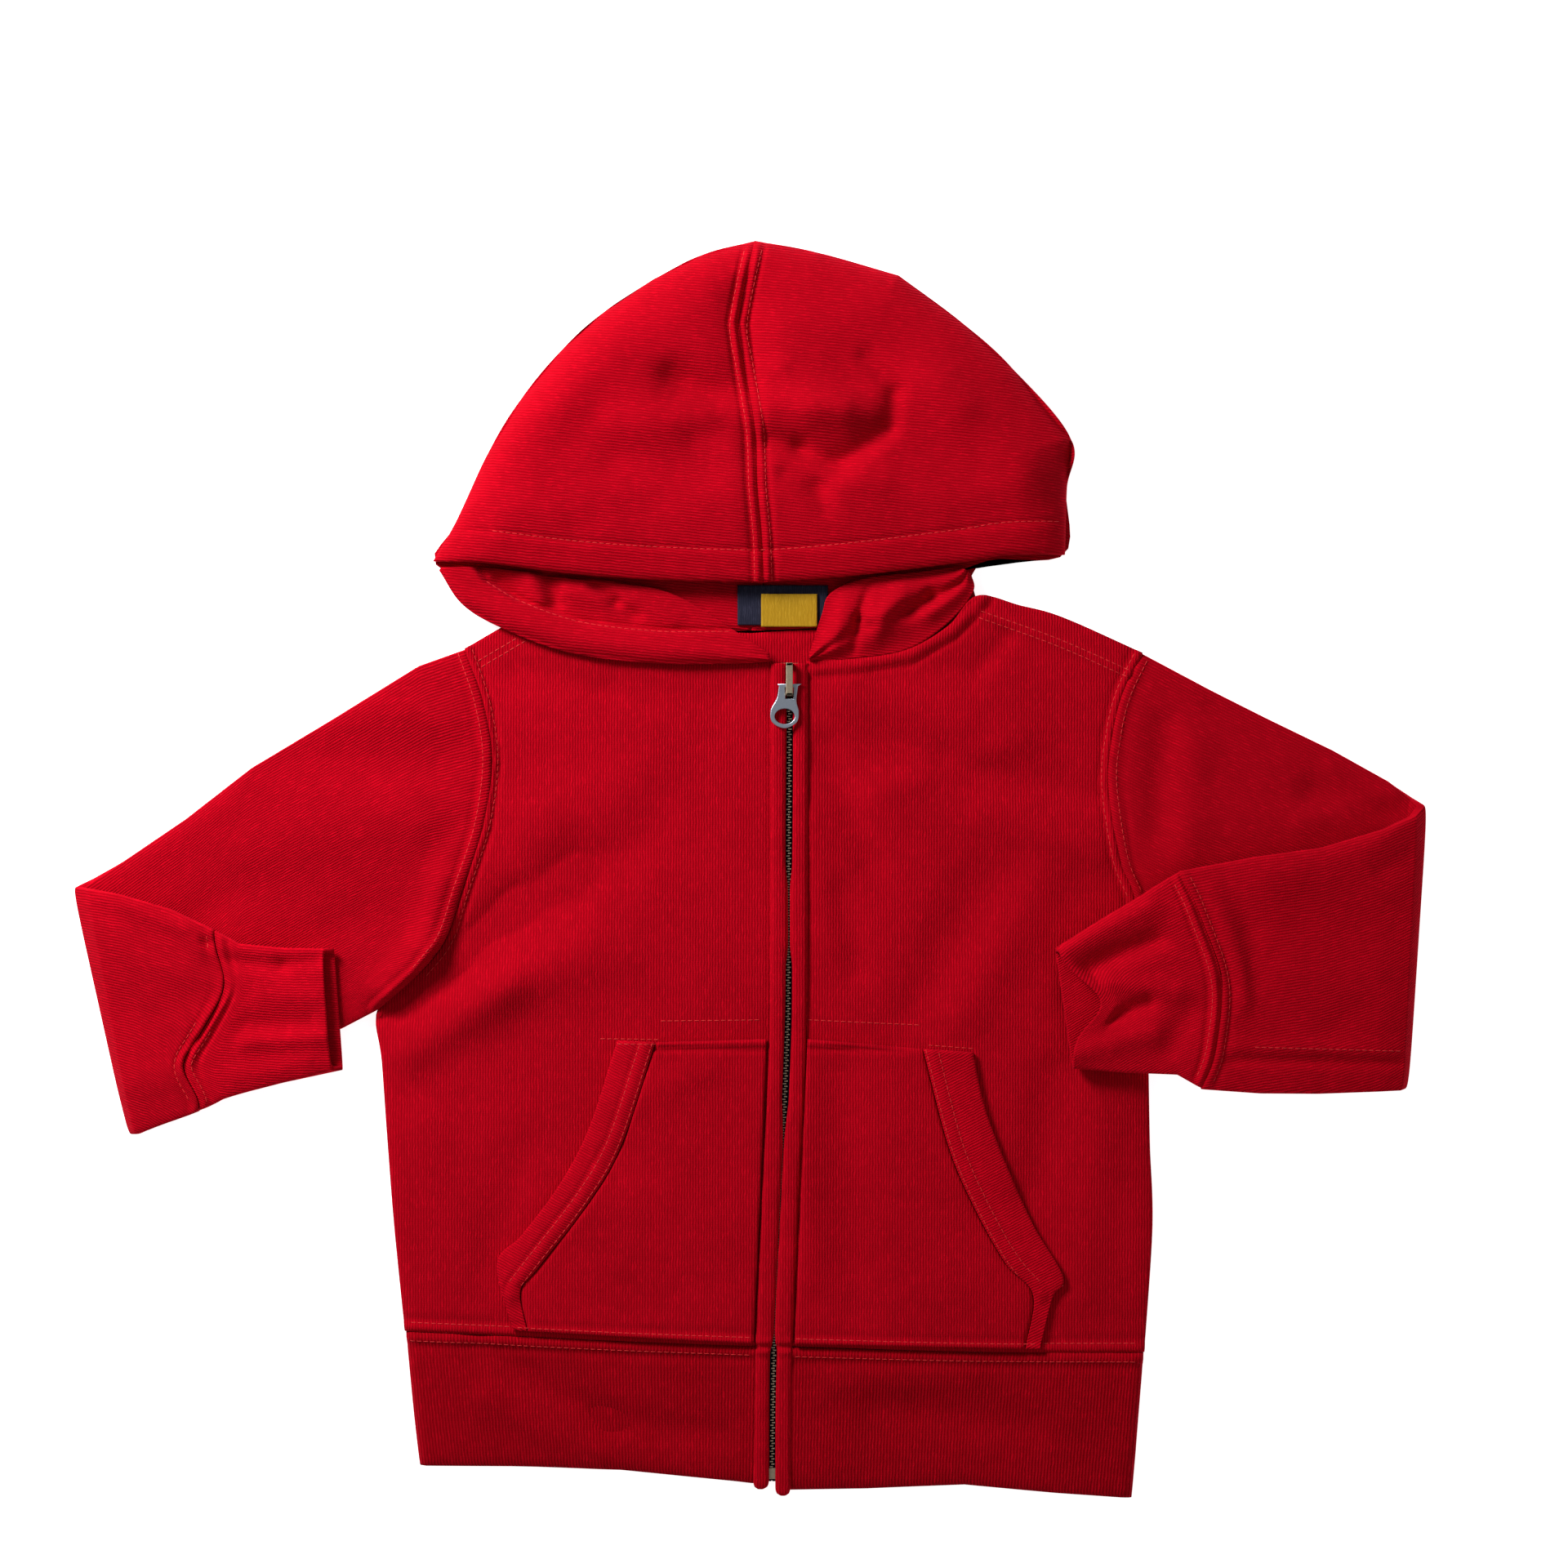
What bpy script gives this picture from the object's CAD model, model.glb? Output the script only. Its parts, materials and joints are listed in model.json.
# A child's red zip-front hoodie, laid flat on its back, seen from straight above.
import json
import math

import bpy
import numpy as np
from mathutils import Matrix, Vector
from mathutils.bvhtree import BVHTree

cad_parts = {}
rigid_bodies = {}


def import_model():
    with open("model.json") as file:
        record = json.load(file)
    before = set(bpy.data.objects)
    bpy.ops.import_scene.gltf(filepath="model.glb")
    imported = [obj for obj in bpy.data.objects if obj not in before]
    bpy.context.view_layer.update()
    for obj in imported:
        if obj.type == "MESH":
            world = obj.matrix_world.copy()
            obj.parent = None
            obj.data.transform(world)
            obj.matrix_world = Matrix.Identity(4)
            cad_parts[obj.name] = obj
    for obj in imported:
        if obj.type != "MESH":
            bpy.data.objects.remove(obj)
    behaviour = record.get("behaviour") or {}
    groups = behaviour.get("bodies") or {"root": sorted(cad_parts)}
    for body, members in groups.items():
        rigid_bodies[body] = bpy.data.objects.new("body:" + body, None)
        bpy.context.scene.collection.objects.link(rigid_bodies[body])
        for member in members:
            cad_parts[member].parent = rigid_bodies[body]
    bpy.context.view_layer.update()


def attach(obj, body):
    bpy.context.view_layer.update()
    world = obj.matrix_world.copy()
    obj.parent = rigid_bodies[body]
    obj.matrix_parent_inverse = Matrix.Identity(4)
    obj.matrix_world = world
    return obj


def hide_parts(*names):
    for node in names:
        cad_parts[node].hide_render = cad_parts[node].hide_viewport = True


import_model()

# Studio
# A pale table under a window-like light from the upper left, with an even fill.
# The camera hangs over the middle of the photograph, looking straight down.
PHOTO_CENTRE = (0.0156, 0.0397)
PHOTO_WIDTH = 0.7296
LENS_MM = 85
SENSOR_MM = 36
WINDOW = {"place": (-0.62, 0.62, 0.56), "size": 0.34, "watts": 13.2}
BOUNCE = {"place": (1.0, -0.6, 1.1), "size": 1.2, "watts": 1.6}
FILL_COLOUR = (0.93, 0.96, 1, 1)
FILL_STRENGTH = 0.24
TABLE_HALF = 3.0
TABLE_DROP = 0.0004
TABLE_COLOUR = (0.9, 0.9, 0.9, 1)
TABLE_GLOW = 0.85


def placed(name, data):
    """An object in the scene that shows the given mesh, curve, light or camera."""
    thing = bpy.data.objects.new(name, data)
    bpy.context.scene.collection.objects.link(thing)
    return thing


def area_light(name, place, size, watts):
    data = bpy.data.lights.new(name, "AREA")
    data.size = size
    data.energy = watts
    light = placed(name, data)
    light.location = place
    light.rotation_euler = (-Vector(place)).to_track_quat("-Z", "Y").to_euler()


def plain_material(name, settings):
    """A material with the given settings of its Principled surface."""
    material = bpy.data.materials.new(name)
    material.use_nodes = True
    for label, value in settings.items():
        material.node_tree.nodes["Principled BSDF"].inputs[label].default_value = value
    return material


camera_data = bpy.data.cameras.new("overhead")
camera_data.lens = LENS_MM
camera_data.sensor_width = SENSOR_MM
camera = placed("overhead", camera_data)
camera.location = (*PHOTO_CENTRE, PHOTO_WIDTH * LENS_MM / SENSOR_MM)
bpy.context.scene.camera = camera
bpy.context.scene.view_settings.view_transform = "Standard"
area_light("window", **WINDOW)
area_light("bounce", **BOUNCE)
world = bpy.data.worlds.new("studio")
world.use_nodes = True
sky = world.node_tree.nodes["Background"]
sky.inputs["Color"].default_value = FILL_COLOUR
sky.inputs["Strength"].default_value = FILL_STRENGTH
bpy.context.scene.world = world

table_mesh = bpy.data.meshes.new("table_top")
table_corners = [(-1, -1), (1, -1), (1, 1), (-1, 1)]
table_points = [(x * TABLE_HALF, y * TABLE_HALF, -TABLE_DROP) for x, y in table_corners]
table_mesh.from_pydata(table_points, [], [(0, 1, 2, 3)])
table_mesh.materials.append(plain_material("pale_table", {
    "Base Color": TABLE_COLOUR,
    "Roughness": 0.8,
    "Emission Color": (1, 1, 1, 1),
    "Emission Strength": TABLE_GLOW,
}))
placed("table_top", table_mesh)

# Back
# One panel of cotton fleece with a fine ribbed face, from the hem band up to the shoulders.
# It lies flat on the table under everything else, so only its edges and neck show.
MM = 0.001
CLOTH = 2.0
SEAM_GAP = 0.3
CURVE_STEPS = 16
BACK_GRID = (60, 60)
HEM_SEAM = [(-160.4, -214), (-121, -215.6), (-60, -218.6), (11, -221), (107, -223.6), (182.8, -223.8)]
HEM_AT_ZIP = HEM_SEAM[3][1]
SIDE_LEFT = [HEM_SEAM[0], (-165.3, -165.5), (-168.3, -127.5), (-171, -89.5), (-172.9, -64.8)]
SIDE_RIGHT = [HEM_SEAM[-1], (186.6, -165.5), (185.4, -127.5), (184.7, -89.5), (183.9, -64.8)]
ARMHOLE_LEFT = [(-172.9, -64.8), (-153.5, -47.7), (-141.7, -32.5), (-134.1, -9.7), (-124.3, 20.7),
                (-120.5, 51.1), (-124.3, 77.7), (-132.6, 102.4)]
ARMHOLE_RIGHT = [(183.9, -64.8), (182.8, -43.9), (178.2, -11.6), (171.4, 5.5), (166.4, 39.7),
                 (168.3, 62.5), (172.9, 81.5), (182, 100.5)]
SHOULDER_LEFT = [(-132.6, 102.4), (-116, 112), (-103, 119)]
SHOULDER_RIGHT = [(104.9, 127), (125, 122.6), (145, 117), (182, 100.5)]
NECK_BACK = [(-103, 119), (-70, 114), (0, 111), (70, 116), (104.9, 127)]
RED = (0.62, 0.0012, 0.0125, 1)
DEEP_RED = (0.34, 0.0004, 0.006, 1)
WALE_MM = 1.3
YARN_WANDER = 0.0009
COURSES_PER_WALE = 1.3
COURSE_LEAN = 0.9
COURSE_DEPTH = 0.05
HEIGHT_TONE = 0.55
TONE_LIFT = 0.08
FLECK_STRETCH = 0.24
FLECK_LEAST = 0.54
FLECK_STRENGTH = 7.0
# Noises of the knit: scale, detail, roughness
WANDER_NOISE = (260, 2, 0.5)
SPECKLE_NOISE = (2600, 3, 0.7)
CLOUD_NOISE = (22, 3, 0.5)
PATCH_NOISE = (130, 4, 0.6)
STREAK_NOISE = (850, 2, 0.6)
KNIT_DEPTH = 0.0005


def joined(*lists):
    """One line through lists of points, each starting where the one before it ended."""
    points = list(lists[0])
    for extra in lists[1:]:
        points += extra[1:]
    return points


def curve_at(points, fractions):
    """Points at shares of the length of a smooth curve through the given ones."""
    knots = np.array(points, float)
    if len(knots) > 2:
        padded = np.vstack([2 * knots[0] - knots[1], knots, 2 * knots[-1] - knots[-2]])
        share = np.linspace(0, 1, CURVE_STEPS, endpoint=False)[:, None]
        spans = []
        for a, b, c, d in zip(padded, padded[1:], padded[2:], padded[3:]):
            bend = 2 * b + (c - a) * share + (2 * a - 5 * b + 4 * c - d) * share**2
            spans.append(0.5 * (bend + (3 * b - a - 3 * c + d) * share**3))
        knots = np.vstack(spans + [knots[-1:]])
    steps = np.linalg.norm(np.diff(knots, axis=0), axis=1)
    travelled = np.concatenate([[0], np.cumsum(steps)])
    wanted = np.asarray(fractions) * travelled[-1]
    return np.stack([np.interp(wanted, travelled, knots[:, k]) for k in (0, 1)], axis=-1)


def plan_patch(bottom, top, left, right, across, along):
    """A grid of points in plan between four edges, and each point's shares s and v."""
    s = np.linspace(0, 1, across + 1)
    v = np.linspace(0, 1, along + 1)
    low, high = curve_at(bottom, s), curve_at(top, s)
    near, far = curve_at(left, v), curve_at(right, v)
    s_grid, v_grid = np.meshgrid(s, v)
    sc, vc = s_grid[..., None], v_grid[..., None]
    plan = (1 - vc) * low[None] + vc * high[None] + (1 - sc) * near[:, None] + sc * far[:, None]
    plan -= (1 - sc) * (1 - vc) * low[0] + sc * (1 - vc) * low[-1]
    plan -= (1 - sc) * vc * high[0] + sc * vc * high[-1]
    return plan[..., 0], plan[..., 1], s_grid, v_grid


def grid_faces(rows, columns, start, ringed):
    """Four-sided faces over a grid of points, closed on itself where it is a ring."""
    index = np.arange(rows * columns).reshape(rows, columns) + start
    if ringed:
        index = np.hstack([index, index[:, :1]])
    quads = [index[:-1, :-1], index[:-1, 1:], index[1:, 1:], index[1:, :-1]]
    return np.stack([q.ravel() for q in quads], axis=-1)


def cloth_mesh(name, outer, inner, texture, ringed=False):
    """A closed wall of cloth between an outer and an inner grid of points in millimetres."""
    rows, columns = outer.shape[:2]
    count = rows * columns
    places = np.vstack([outer.reshape(-1, 3), inner.reshape(-1, 3)]) * MM
    front = grid_faces(rows, columns, 0, ringed)
    lining = grid_faces(rows, columns, count, ringed)[:, ::-1]
    index = np.arange(count).reshape(rows, columns)
    borders = [index[0], index[-1][::-1]]
    if ringed:
        borders = [np.append(border, border[0]) for border in borders]
    else:
        borders += [index[::-1, 0], index[:, -1]]
    rims = [np.stack([b[1:], b[:-1], b[:-1] + count, b[1:] + count], axis=-1) for b in borders]
    faces = np.vstack([front, lining, *rims])
    mesh = bpy.data.meshes.new(name)
    mesh.from_pydata(places.tolist(), [], faces.tolist())
    corner = np.zeros(len(mesh.loops), int)
    mesh.loops.foreach_get("vertex_index", corner)
    flat_uv = np.vstack([texture.reshape(-1, 2), texture.reshape(-1, 2)])[corner] * MM
    layer = mesh.uv_layers.new(name="grain")
    layer.data.foreach_set("uv", flat_uv.ravel())
    mesh.shade_smooth()
    return placed(name, mesh)


def panel(name, plan, above, under, grain=0):
    """A panel over a plan grid, with its knit running at the grain's angle in degrees."""
    x, y = plan[:2]
    turn = math.radians(grain)
    texture = np.stack(
        [x * math.cos(turn) + y * math.sin(turn), y * math.cos(turn) - x * math.sin(turn)], axis=-1
    )
    outer = np.stack([x, y, np.broadcast_to(above, x.shape)], axis=-1)
    inner = np.stack([x, y, np.broadcast_to(under, x.shape)], axis=-1)
    return cloth_mesh(name, outer, inner, texture)


def math_node(tree, operation, *values):
    node = tree.nodes.new("ShaderNodeMath")
    node.operation = operation
    for socket, value in zip(node.inputs, values):
        if hasattr(value, "links"):
            tree.links.new(value, socket)
        else:
            socket.default_value = value
    return node.outputs[0]


def noise_node(tree, vector, scale, detail, rough=0.5):
    node = tree.nodes.new("ShaderNodeTexNoise")
    node.inputs["Scale"].default_value = scale
    node.inputs["Detail"].default_value = detail
    node.inputs["Roughness"].default_value = rough
    tree.links.new(vector, node.inputs["Vector"])
    return node.outputs["Fac"]


def knit_group():
    """Rows of knit stitches: a height for the bump and a tone for the colour."""
    tree = bpy.data.node_groups.new("ribbed_knit", "ShaderNodeTree")
    for side, label, kind in (
        ("INPUT", "Grain", "NodeSocketVector"),
        ("INPUT", "Wale", "NodeSocketFloat"),
        ("INPUT", "Fuzz", "NodeSocketFloat"),
        ("OUTPUT", "Height", "NodeSocketFloat"),
        ("OUTPUT", "Tone", "NodeSocketFloat"),
    ):
        tree.interface.new_socket(name=label, in_out=side, socket_type=kind)

    def maths(operation, *values):
        return math_node(tree, operation, *values)

    given = tree.nodes.new("NodeGroupInput")
    result = tree.nodes.new("NodeGroupOutput")
    split = tree.nodes.new("ShaderNodeSeparateXYZ")
    grain = given.outputs["Grain"]
    tree.links.new(grain, split.inputs[0])
    wander = maths("SUBTRACT", noise_node(tree, grain, *WANDER_NOISE), 0.5)
    across = maths("ADD", split.outputs["X"], maths("MULTIPLY", wander, YARN_WANDER))
    wale_phase = maths("DIVIDE", across, given.outputs["Wale"])
    wale = maths("SINE", maths("MULTIPLY", wale_phase, math.tau))
    course_phase = maths("DIVIDE", split.outputs["Y"], given.outputs["Wale"])
    course_angle = maths("MULTIPLY", course_phase, math.tau * COURSES_PER_WALE)
    course = maths("SINE", maths("ADD", course_angle, maths("MULTIPLY", wale, COURSE_LEAN)))
    ribs = maths("MULTIPLY", maths("ADD", wale, 1), 0.5)
    loops = maths("ADD", ribs, maths("MULTIPLY", course, COURSE_DEPTH))
    speckle = maths("SUBTRACT", noise_node(tree, grain, *SPECKLE_NOISE), 0.5)
    height = maths("ADD", loops, maths("MULTIPLY", speckle, given.outputs["Fuzz"]))
    tree.links.new(height, result.inputs["Height"])
    cloud = maths("MULTIPLY", noise_node(tree, grain, *CLOUD_NOISE), 0.5)
    patches = maths("MULTIPLY", noise_node(tree, grain, *PATCH_NOISE), 0.5)
    mottle = maths("SUBTRACT", maths("ADD", cloud, patches), 0.5)
    tone = maths("ADD", maths("MULTIPLY", height, HEIGHT_TONE), maths("ADD", mottle, TONE_LIFT))
    drawn_out = tree.nodes.new("ShaderNodeCombineXYZ")
    tree.links.new(across, drawn_out.inputs["X"])
    tree.links.new(maths("MULTIPLY", split.outputs["Y"], FLECK_STRETCH), drawn_out.inputs["Y"])
    streak = maths("SUBTRACT", noise_node(tree, drawn_out.outputs[0], *STREAK_NOISE), FLECK_LEAST)
    fleck = maths("MULTIPLY", maths("MAXIMUM", streak, 0), FLECK_STRENGTH)
    tone = maths("ADD", tone, maths("MULTIPLY", fleck, ribs))
    clamp = tree.nodes.new("ShaderNodeClamp")
    tree.links.new(tone, clamp.inputs[0])
    tree.links.new(clamp.outputs[0], result.inputs["Tone"])
    return tree


def colour_and_relief(tree, tone, dark, light, height, strength, depth):
    """Colours the surface by a tone from dark to light, and bumps it by a height."""
    surface = tree.nodes["Principled BSDF"]
    blend = tree.nodes.new("ShaderNodeMix")
    blend.data_type = "RGBA"
    blend.inputs[6].default_value = dark
    blend.inputs[7].default_value = light
    tree.links.new(tone, blend.inputs[0])
    tree.links.new(blend.outputs[2], surface.inputs["Base Color"])
    relief = tree.nodes.new("ShaderNodeBump")
    relief.inputs["Strength"].default_value = strength
    relief.inputs["Distance"].default_value = depth
    tree.links.new(height, relief.inputs["Height"])
    tree.links.new(relief.outputs[0], surface.inputs["Normal"])


ribbed_knit = knit_group()


def knit_material(name, dark, light, wale=WALE_MM, bump=0.5, fuzz=0.5, sheen=0.3):
    """Cloth between two tones, with the width of its wales in millimetres."""
    material = plain_material(name, {
        "Roughness": 0.93,
        "Specular IOR Level": 0.03,
        "Sheen Weight": sheen,
        "Sheen Roughness": 0.45,
        "Sheen Tint": (1, 0.015, 0.06, 1),
    })
    tree = material.node_tree
    grain = tree.nodes.new("ShaderNodeUVMap")
    grain.uv_map = "grain"
    knit = tree.nodes.new("ShaderNodeGroup")
    knit.node_tree = ribbed_knit
    knit.inputs["Wale"].default_value = wale * MM
    knit.inputs["Fuzz"].default_value = fuzz
    tree.links.new(grain.outputs[0], knit.inputs["Grain"])
    colour_and_relief(tree, knit.outputs["Tone"], dark, light, knit.outputs["Height"], bump, KNIT_DEPTH)
    return material


def finish_cloth(piece, material, node):
    """Gives a piece its cloth and says what it rides on, stands for and was cut from."""
    piece.data.materials.append(material)
    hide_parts(node)
    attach(piece, "garment")


fleece = knit_material("red_fleece", DEEP_RED, RED)
back_plan = plan_patch(
    HEM_SEAM,
    joined(SHOULDER_LEFT, NECK_BACK, SHOULDER_RIGHT),
    joined(SIDE_LEFT, ARMHOLE_LEFT),
    joined(SIDE_RIGHT, ARMHOLE_RIGHT),
    *BACK_GRID,
)
back = panel("back_panel", back_plan, CLOTH, 0)
finish_cloth(back, fleece, "back")

# Fronts
# Two panels of the same fleece that lie on the back and meet at the zip.
# Soft troughs run in from the armholes, and a welt stands up along each sewn edge.
FRONT_BASE = 2.3
FRONT_HEIGHT = 6.4
FRONT_EDGE_RADIUS = 9
EDGE_START = 0.6
UNDERARM_Y = (-80, -40)
DEEPEST_DENT = -0.6
LEAST_HOLLOW = 0.2
FRONT_GRID = (110, 200)
PLACKET_OUTER = 8.6
TUCKED_UNDER = 0.9
ZIP_LINE = [(9.9, -285.2), (11, -218.7), (13.7, -157.9), (17.5, -66.7), (18.2, 96.7)]
NECK_LEFT = [(-103, 119), (-92, 108), (-70, 100), (-40, 96.6), (9.6, 96)]
NECK_RIGHT = [(26.8, 96), (49.8, 98), (72.6, 102), (91.6, 113), (104.9, 127)]
SHOULDER_SEAM = [(106, 118.5), (142, 105.5), (175, 91)]
# Ridges and grooves beside a line: height, distance from the line, width
ARMHOLE_WELTS = ((1.2, 2.0, 1.3), (-0.8, 4.8, 1.1))
HEM_WELTS = ((1.0, 2.2, 1.5), (-0.5, 5.6, 1.6))
PLACKET_GROOVE = ((-0.5, 0.3, 1.0),)
NECK_WELTS = ((1.3, 3, 2.6), (-0.9, 7.2, 1.2))
SHOULDER_WELTS = ((0.7, 0, 2.2), (-0.4, 4, 1.5))
# Columns: start x, start y, end x, end y, width, height of the fold
FRONT_FOLDS = [
    (-150, -55, -78, -18, 16, -1.5), (-128, -62, -60, -40, 13, 1.6), (-112, 48, -50, 34, 15, -0.8),
    (62, 62, 140, 46, 15, -1.3), (70, 30, 150, 12, 14, 1.2), (60, -8, 128, -52, 13, -1.0),
]
FRONT_CREASES = [
    (-164, -62, -138, -41, 7, -6.0), (-136, -38, -108, -16, 9, -2.8), (-108, -16, -80, 6, 13, -1.8),
    (-156, -84, -112, -52, 10, 2.6), (-112, -52, -76, -30, 13, 2.2), (-66, 14, -34, 22, 12, 1.1),
    (-44, -14, -8, -66, 14, 1.2), (-112, -84, -66, -134, 13, -1.6), (-150, -120, -130, -200, 12, 1.4),
    (-104, -130, -128, -200, 10, -1.1), (44, 82, 96, 66, 10, 1.5), (92, 50, 156, 34, 9, -1.8),
    (60, 36, 124, 60, 9, 1.3), (110, 26, 160, 6, 9, 1.6), (134, -6, 100, -66, 12, 1.8),
    (104, -10, 76, -66, 12, -1.8), (36, 56, 55, 4, 8, -1.5), (42, -12, 50, -46, 7, -1.4),
    (28, 24, 38, -34, 8, 1.0), (164, -108, 154, -196, 11, 1.4),
    (140, -96, 130, -150, 10, -1.5), (42, -96, 50, -200, 11, -1.5), (60, 90, 100, 94, 8, -1.0),
    (118, 108, 106, 92, 5, -1.2), (-60, 82, -14, 80, 11, -1.6), (-108, 92, -70, 84, 8, -1.3),
    (-20, 60, -30, 10, 14, -1.0), (-86, -6, -46, 18, 12, -2.0),
    (-98, 26, -54, 42, 15, 1.8), (150, -60, 176, -76, 9, -1.4), (26, -100, 28, -190, 7, 0.9),
]


def gap_to(points, x, y):
    """The distance in plan from each point to a line of points."""
    least = np.full(np.shape(x), np.inf)
    for (x0, y0), (x1, y1) in zip(points, points[1:]):
        dx, dy = x1 - x0, y1 - y0
        along = np.clip(((x - x0) * dx + (y - y0) * dy) / (dx * dx + dy * dy), 0, 1)
        least = np.minimum(least, np.hypot(x - x0 - along * dx, y - y0 - along * dy))
    return least


def folds_at(folds, x, y):
    total = np.zeros(np.shape(x))
    for x0, y0, x1, y1, width, height in folds:
        total += height * np.exp(-((gap_to([(x0, y0), (x1, y1)], x, y) / width) ** 2))
    return total


def rounded_rise(distance, radius):
    return np.sqrt(1 - (1 - np.clip(distance / radius, 0, 1)) ** 2)


def smooth_step(low, high, value):
    share = np.clip((value - low) / (high - low), 0, 1)
    return share * share * (3 - 2 * share)


def cross_at(points, y):
    return np.interp(y, [p[1] for p in points], [p[0] for p in points])


def shifted(points, offset):
    return [(x + offset, y) for x, y in points]


def ridge(gap, centre, width):
    return np.exp(-(((gap - centre) / width) ** 2))


def welts(gap, rows):
    """The summed height of ridges and grooves at a distance from the line they run beside."""
    return sum(height * ridge(gap, centre, width) for height, centre, width in rows)


def front_heights(x, y, inset):
    left = cross_at(joined(SIDE_LEFT, ARMHOLE_LEFT), y)
    right = cross_at(joined(SIDE_RIGHT, ARMHOLE_RIGHT), y)
    inward = np.minimum(x - left, right - x) + EDGE_START - inset
    at_side = 1 - smooth_step(*UNDERARM_Y, y)
    rise = 1 - at_side * (1 - rounded_rise(inward, FRONT_EDGE_RADIUS))
    return (FRONT_HEIGHT - FRONT_BASE - CLOTH + folds_at(FRONT_FOLDS, x, y)) * rise


def sewn_welts(x, y):
    """The raised seam allowances, with a stitched groove beside each."""
    holes = np.minimum(gap_to(ARMHOLE_LEFT, x, y), gap_to(ARMHOLE_RIGHT, x, y))
    hem = y - np.interp(x, *np.transpose(HEM_SEAM))
    strap = np.abs(x - cross_at(ZIP_LINE, y)) - PLACKET_OUTER
    welt = welts(holes, ARMHOLE_WELTS) + welts(hem, HEM_WELTS) + welts(strap, PLACKET_GROOVE)
    welt += welts(gap_to(NECK_RIGHT, x, y), NECK_WELTS)
    return welt + welts(gap_to(SHOULDER_SEAM, x, y), SHOULDER_WELTS)


def front_top(x, y):
    depth = front_heights(x, y, 0) + sewn_welts(x, y) + folds_at(FRONT_CREASES, x, y)
    return FRONT_BASE + CLOTH + np.maximum(depth, DEEPEST_DENT)


def front_under(x, y):
    sunk = np.minimum(folds_at(FRONT_CREASES, x, y), 0)
    return FRONT_BASE + np.maximum(front_heights(x, y, CLOTH / 2) + sunk, LEAST_HOLLOW)


def front_panel(name, plan, node):
    x, y = plan[:2]
    piece = panel(name, plan, front_top(x, y), front_under(x, y))
    finish_cloth(piece, fleece, node)
    return piece


front_zip = [(11, HEM_AT_ZIP)] + ZIP_LINE[2:]
zip_left = shifted(front_zip, -PLACKET_OUTER + TUCKED_UNDER)
zip_right = shifted(front_zip, PLACKET_OUTER - TUCKED_UNDER)
front_left = front_panel("front_left_panel", plan_patch(
    HEM_SEAM[:3] + [zip_left[0]],
    joined(SHOULDER_LEFT, NECK_LEFT[:-1] + [zip_left[-1]]),
    joined(SIDE_LEFT, ARMHOLE_LEFT),
    zip_left,
    *FRONT_GRID,
), "front_left")
front_right = front_panel("front_right_panel", plan_patch(
    [zip_right[0]] + HEM_SEAM[4:],
    joined([zip_right[-1]] + NECK_RIGHT[1:], SHOULDER_RIGHT),
    zip_right,
    joined(SIDE_RIGHT, ARMHOLE_RIGHT),
    *FRONT_GRID,
), "front_right")

# Plackets
# Two strips of fleece folded over the zip tapes and sewn down, from the neck to the hem.
# They meet over the teeth but for a dark slit, and end rounded just below the band.
PLACKET_INNER = 2.1
PLACKET_BASE = 6.3
PLACKET_TOP = 8.8
PLACKET_ENDS = {"left": -287.0, "right": -290.0}
PLACKET_NECK = 95.6
PLACKET_END_RADIUS = 4
PLACKET_GRID = (16, 420)
SLIT_LEFT_OVER = 0.15
PLACKET_EDGE_DROP = 1.5
# Distances below zero in y at which the slit starts to shut, is shut, starts to part, has parted
SHUT = (95, 130, 214, 228)
NEARLY_SHUT = (-4, 10, 34, 46)


def between(left, right, across, along):
    """A plan patch between two sides, with straight ends."""
    return plan_patch([left[0], right[0]], [left[-1], right[-1]], left, right, across, along)


def strip_plan(near, far, low, high, across, along):
    line = [(cross_at(ZIP_LINE, low), low)] + ZIP_LINE[1:-1] + [(ZIP_LINE[-1][0], high)]
    return between(shifted(line, near), shifted(line, far), across, along)


def shut_over(y, starts, shut, parts, parted):
    return smooth_step(starts, shut, -y) * (1 - smooth_step(parts, parted, -y))


def placket(name, near, far, low, node):
    x, y, s, v = strip_plan(near, far, low, PLACKET_NECK, *PLACKET_GRID)
    ajar = 0.3 + 0.1 * np.sin(y / 19 + near) + 0.5 * shut_over(y, *NEARLY_SHUT)
    shut = np.maximum(shut_over(y, *SHUT), ajar)
    inner_share = s if near < 0 else 1 - s
    middle = 0.5 * (near + far)
    x = x - math.copysign(PLACKET_INNER - SLIT_LEFT_OVER, middle) * shut * inner_share
    tuck = 1 - rounded_rise(y - low, PLACKET_END_RADIUS)
    line = cross_at(ZIP_LINE, y)
    x = line + middle + (x - line - middle) * (1 - 0.55 * tuck)
    puckers = 0.18 * np.sin(y / 3.1) * np.sin(y / 17.3 + near) + 0.25 * np.sin(y / 41 + near)
    edges = PLACKET_EDGE_DROP * np.abs(2 * s - 1) ** 4
    hem = y - HEM_AT_ZIP
    sewn = 0.8 * ridge(np.abs(hem), 2.4, 1.6) - 0.9 * ridge(hem, 0, 1.2)
    above = PLACKET_TOP - edges + sewn + puckers - 1.0 * tuck
    piece = panel(name, (x, y, s, v), above, PLACKET_BASE)
    finish_cloth(piece, fleece, node)


placket("placket_left_strip", -PLACKET_OUTER, -PLACKET_INNER, PLACKET_ENDS["left"], "placket_left")
placket("placket_right_strip", PLACKET_INNER, PLACKET_OUTER, PLACKET_ENDS["right"], "placket_right")

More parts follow.
